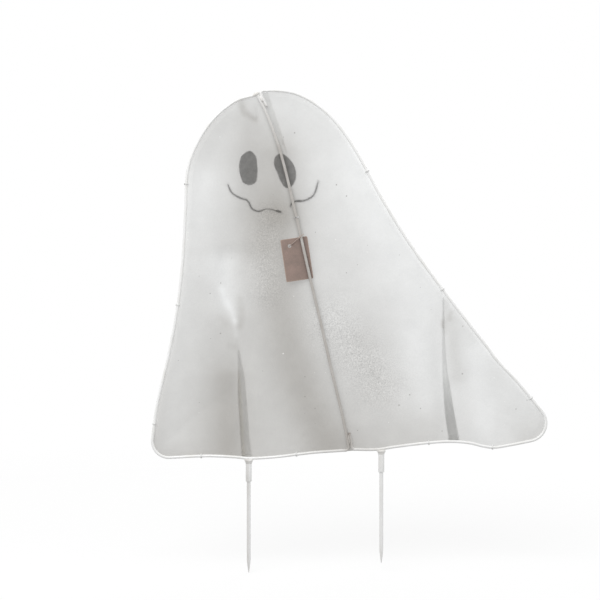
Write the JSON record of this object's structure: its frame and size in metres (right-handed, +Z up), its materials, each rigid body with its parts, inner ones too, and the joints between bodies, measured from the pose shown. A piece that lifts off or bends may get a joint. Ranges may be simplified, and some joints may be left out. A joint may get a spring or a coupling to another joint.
{
  "type": "ghost yard stake",
  "caption": "Flat seasonal yard ghost: thin cloth with a plain face tied over a bent wire outline with a slanting brace, on two push-in ground stakes, with a blank hang tag",
  "frame": {"origin": "on the soil line, midway between the two stakes and in the plane of the wires", "axes": "+Z up, +X across towards the ghost's long trailing wing, +Y out of the cloth side that carries the face"},
  "size_m": [0.4995, 0.0289, 0.609],
  "materials": {
    "white_paint": "white enamel on bent steel wire",
    "cloth": "thin translucent white cloth",
    "dark_felt": "dark felt",
    "kraft_card": "plain kraft card",
    "thread": "pale cotton thread"
  },
  "bodies": {
    "frame": {"left_loop_wire": "white_paint", "right_bow_wire": "white_paint", "top_weld": "white_paint", "upper_lap_weld": "white_paint", "foot_weld": "white_paint", "left_socket_weld": "white_paint", "right_socket_weld": "white_paint", "left_socket": "white_paint", "right_socket": "white_paint", "cover_sheet": "cloth", "left_eye": "dark_felt", "right_eye": "dark_felt", "mouth_left": "dark_felt", "mouth_right": "dark_felt", "edge_tie_1": "thread", "edge_tie_2": "thread", "edge_tie_3": "thread", "edge_tie_4": "thread", "edge_tie_5": "thread", "edge_tie_6": "thread", "edge_tie_7": "thread", "edge_tie_8": "thread", "edge_tie_9": "thread", "edge_tie_10": "thread", "brace_tie": "thread"},
    "left_stake": {"left_stake": "white_paint"},
    "right_stake": {"right_stake": "white_paint"},
    "tag": {"hang_tag": "kraft_card", "tag_string": "thread"}
  },
  "joints": [
    {"name": "left_stake_pull", "type": "slide", "parent": "frame", "child": "left_stake", "axis": [0, 0, -1], "range_m": [0, 0.03]},
    {"name": "right_stake_pull", "type": "slide", "parent": "frame", "child": "right_stake", "axis": [0, 0, -1], "range_m": [0, 0.03]},
    {"name": "tag_swing", "type": "hinge", "parent": "frame", "child": "tag", "pos_m": [-0.01787, 0, 0.307], "axis": [0, 1, 0], "range_deg": [-15, 15]}
  ]
}
